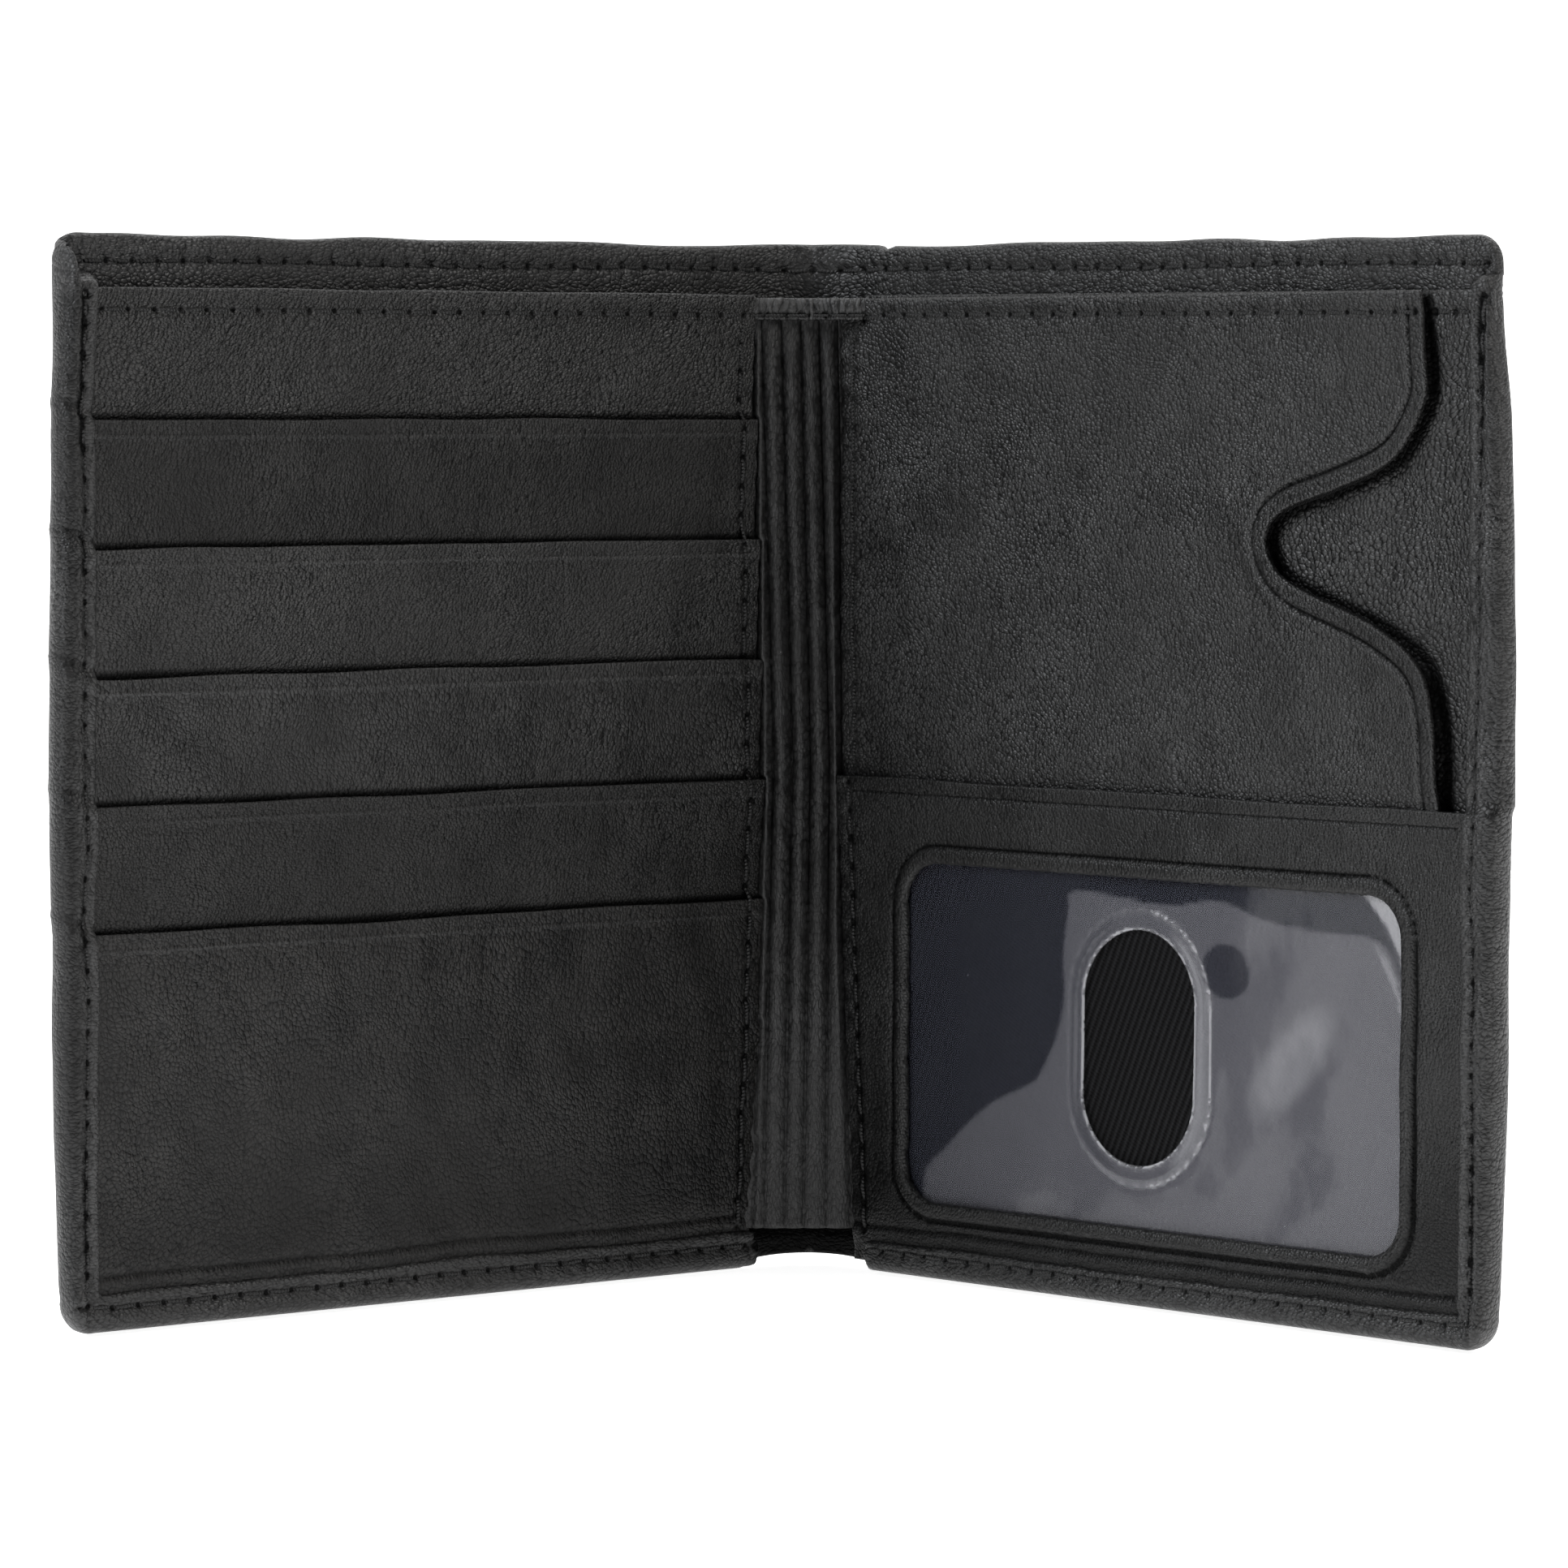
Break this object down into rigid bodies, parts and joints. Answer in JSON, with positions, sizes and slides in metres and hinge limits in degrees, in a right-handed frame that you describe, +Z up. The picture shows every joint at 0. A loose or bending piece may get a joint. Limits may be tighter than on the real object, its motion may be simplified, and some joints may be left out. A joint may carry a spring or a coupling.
{
  "type": "bifold card wallet",
  "caption": "Upright two-leaf leather wallet: stepped card slots, side pocket with thumb notch, clear ID window, pleated spine gusset and full-height bill compartment.",
  "frame": {"origin": "middle of the box's footprint, on the surface that the bottom edges of the cover stand on", "axes": "+Z up, +X to the right across both leaves, +Y back towards the spine"},
  "size_m": [0.16, 0.0704, 0.12],
  "materials": {
    "cover_leather": "satin",
    "panel_leather": "satin",
    "gusset_leather": "satin",
    "lining_fabric": "matte",
    "twill_fabric": "matte",
    "stiffener_board": "matte",
    "thread": "satin",
    "clear_film": "gloss"
  },
  "bodies": {
    "spine": {"cover_spine": "cover_leather", "cover_spine_lining": "lining_fabric", "spine_gusset": "gusset_leather", "gusset_lining": "lining_fabric", "gusset_binding": "gusset_leather", "cover_spine_thread": "thread", "gusset_binding_thread": "thread"},
    "left_leaf": {"cover_left": "cover_leather", "stiffener_left": "stiffener_board", "cover_lining_left": "lining_fabric", "divider_lining_left": "lining_fabric", "card_panel": "panel_leather", "card_slot_1": "panel_leather", "card_slot_2": "panel_leather", "card_slot_3": "panel_leather", "card_slot_4": "panel_leather", "card_slot_5": "panel_leather", "card_slot_lining_1": "lining_fabric", "card_slot_lining_2": "lining_fabric", "card_slot_lining_3": "lining_fabric", "card_slot_lining_4": "lining_fabric", "card_slot_lining_5": "lining_fabric", "hem_thread_left": "thread", "cover_top_thread_left": "thread", "card_panel_thread": "thread"},
    "right_leaf": {"cover_right": "cover_leather", "stiffener_right": "stiffener_board", "cover_lining_right": "lining_fabric", "divider_lining_right": "lining_fabric", "base_panel": "panel_leather", "side_pocket_panel": "panel_leather", "side_pocket_lining": "lining_fabric", "id_pocket_backing": "twill_fabric", "id_window_film": "clear_film", "id_window_frame": "panel_leather", "hem_thread_right": "thread", "cover_top_thread_right": "thread", "side_pocket_thread": "thread", "id_pocket_thread": "thread", "base_panel_thread": "thread"}
  },
  "joints": [
    {"name": "left_fold", "type": "hinge", "parent": "spine", "child": "left_leaf", "pos_m": [-0.006, 0.03125, 0.06], "axis": [0, 0, 1], "range_deg": [-41, 49.5], "deforming": ["spine_gusset", "gusset_lining", "gusset_binding", "gusset_binding_thread"]},
    {"name": "right_fold", "type": "hinge", "parent": "spine", "child": "right_leaf", "pos_m": [0.006, 0.03125, 0.06], "axis": [0, 0, -1], "range_deg": [-41, 49.5], "deforming": ["spine_gusset", "gusset_lining", "gusset_binding", "gusset_binding_thread"]}
  ]
}
